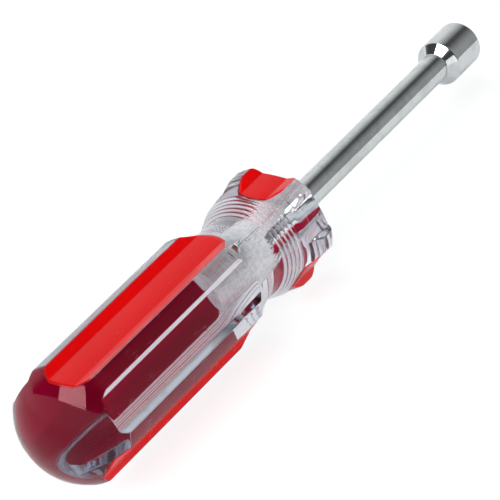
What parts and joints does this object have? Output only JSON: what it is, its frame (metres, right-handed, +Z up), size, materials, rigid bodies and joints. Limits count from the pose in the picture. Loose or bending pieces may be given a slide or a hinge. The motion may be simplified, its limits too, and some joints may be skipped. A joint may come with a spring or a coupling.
{
  "type": "nut driver",
  "caption": "Quarter-inch nut driver: clear fluted plastic handle with inlaid red stripes, domed butt, turned waist and collar, hollow plated shaft and hexagon socket.",
  "frame": {"origin": "centre of the socket's mouth, on the tool's axis", "axes": "+X along the tool out of the socket's mouth, +Z up through the middle of the top stripe, +Y to the left when looking along +X; the tool lies on two crests of its handle"},
  "size_m": [0.1809, 0.027, 0.0249],
  "materials": {
    "clear_acetate": "polished clear cellulose acetate",
    "red_acetate": "polished opaque red acetate",
    "plated_shaft": "bright chrome plate on steel, bare knurled end in the handle",
    "plated_socket": "bright chrome plate on steel"
  },
  "bodies": {
    "root": {"handle_body": "clear_acetate", "grip_stripe_top": "red_acetate", "grip_stripe_left": "red_acetate", "grip_stripe_right": "red_acetate", "collar_stripe_top": "red_acetate", "collar_stripe_left": "red_acetate", "collar_stripe_right": "red_acetate", "shaft": "plated_shaft", "socket": "plated_socket"}
  },
  "joints": []
}
